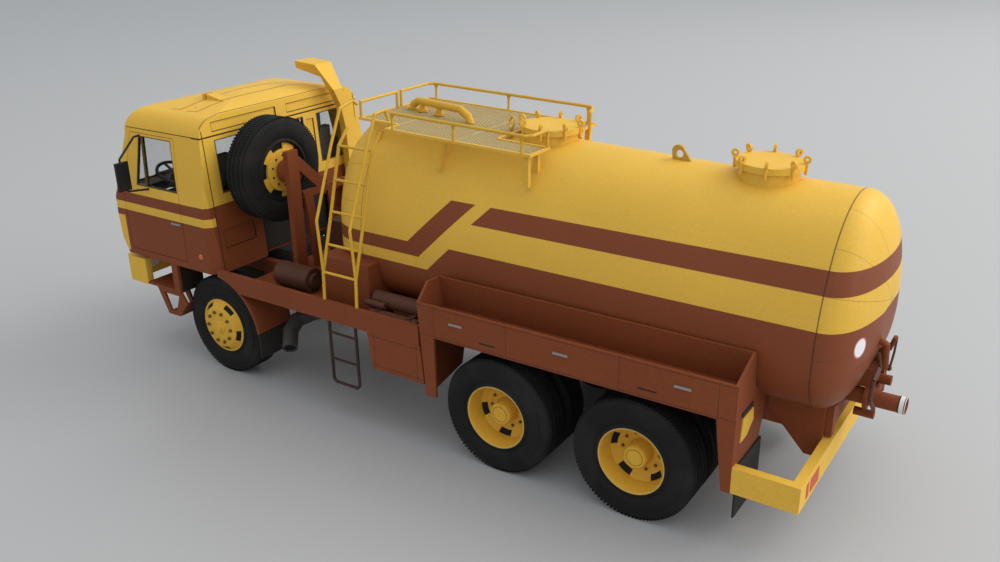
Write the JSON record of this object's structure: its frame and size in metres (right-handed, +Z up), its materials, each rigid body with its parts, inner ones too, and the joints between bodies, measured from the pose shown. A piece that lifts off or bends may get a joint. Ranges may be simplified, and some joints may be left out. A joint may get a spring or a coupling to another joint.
{
  "type": "model tanker truck",
  "caption": "Card scale model of a cab-over fire service tanker truck with an oval tank, side trays, platform, ladder and rolling wheels.",
  "frame": {"origin": "centre of the footprint on the ground, under the middle of the overall box", "axes": "+X forward, towards the front bumper; +Y to the vehicle's left; +Z up"},
  "size_m": [0.255, 0.096, 0.0972],
  "materials": {
    "tyre_black": "matt",
    "yellow_card": "satin",
    "brown_card": "satin",
    "dark_card": "matt",
    "grey_card": "matt",
    "white_card": "gloss",
    "silver_card": "satin",
    "clear_film": "gloss",
    "yellow_wire": "satin",
    "brown_wire": "satin",
    "black_wire": "satin"
  },
  "bodies": {
    "chassis": {"backbone_tube": "dark_card", "cab_doors": "yellow_card", "cab_floor": "brown_card", "cab_front": "yellow_card", "cab_glass": "clear_film", "cab_rear_wall": "yellow_card", "cab_roof": "yellow_card", "cab_sides": "yellow_card", "cab_steps": "brown_card", "chassis_frame": "brown_card", "cross_members": "brown_card", "dashboard": "dark_card", "deck": "brown_card", "deck_machinery": "brown_card", "engine_block": "dark_card", "engine_tunnel": "dark_card", "exhaust": "grey_card", "front_axle": "dark_card", "front_bumper": "yellow_card", "front_mudguards": "brown_card", "grille": "dark_card", "handles": "silver_card", "lamps": "white_card", "lifting_lug": "yellow_card", "lockers": "brown_card", "lower_ladders": "brown_wire", "manhole_front": "yellow_card", "manhole_rear": "yellow_card", "mirrors": "black_wire", "mud_flaps": "dark_card", "outlet_pipe": "brown_card", "platform_deck": "grey_card", "platform_rails": "yellow_wire", "platform_supports": "yellow_card", "rear_axles": "dark_card", "rear_bumper": "yellow_card", "rear_valve": "brown_card", "seats": "dark_card", "side_beams": "brown_card", "side_trays": "brown_card", "snorkel": "yellow_card", "spare_carrier": "brown_card", "spare_rim": "yellow_card", "spare_tyre": "tyre_black", "tank": "yellow_card", "tank_saddles": "brown_card", "top_pipe": "yellow_card", "upper_ladder": "yellow_wire"},
    "wheel_front_left": {"rim_front_left": "yellow_card", "tyre_front_left": "tyre_black"},
    "wheel_front_right": {"rim_front_right": "yellow_card", "tyre_front_right": "tyre_black"},
    "wheel_rear1_left": {"rims_rear1_left": "yellow_card", "tyres_rear1_left": "tyre_black"},
    "wheel_rear1_right": {"rims_rear1_right": "yellow_card", "tyres_rear1_right": "tyre_black"},
    "wheel_rear2_left": {"rims_rear2_left": "yellow_card", "tyres_rear2_left": "tyre_black"},
    "wheel_rear2_right": {"rims_rear2_right": "yellow_card", "tyres_rear2_right": "tyre_black"}
  },
  "joints": [
    {"name": "spin_front_left", "type": "hinge", "parent": "chassis", "child": "wheel_front_left", "pos_m": [0.08255, 0.0319, 0.0172], "axis": [0, 1, 0], "continuous": true},
    {"name": "spin_front_right", "type": "hinge", "parent": "chassis", "child": "wheel_front_right", "pos_m": [0.08255, -0.0319, 0.0172], "axis": [0, 1, 0], "continuous": true},
    {"name": "spin_rear1_left", "type": "hinge", "parent": "chassis", "child": "wheel_rear1_left", "pos_m": [-0.02965, 0.0287, 0.0172], "axis": [0, 1, 0], "continuous": true},
    {"name": "spin_rear1_right", "type": "hinge", "parent": "chassis", "child": "wheel_rear1_right", "pos_m": [-0.02965, -0.0287, 0.0172], "axis": [0, 1, 0], "continuous": true},
    {"name": "spin_rear2_left", "type": "hinge", "parent": "chassis", "child": "wheel_rear2_left", "pos_m": [-0.07085, 0.0287, 0.0172], "axis": [0, 1, 0], "continuous": true},
    {"name": "spin_rear2_right", "type": "hinge", "parent": "chassis", "child": "wheel_rear2_right", "pos_m": [-0.07085, -0.0287, 0.0172], "axis": [0, 1, 0], "continuous": true}
  ]
}
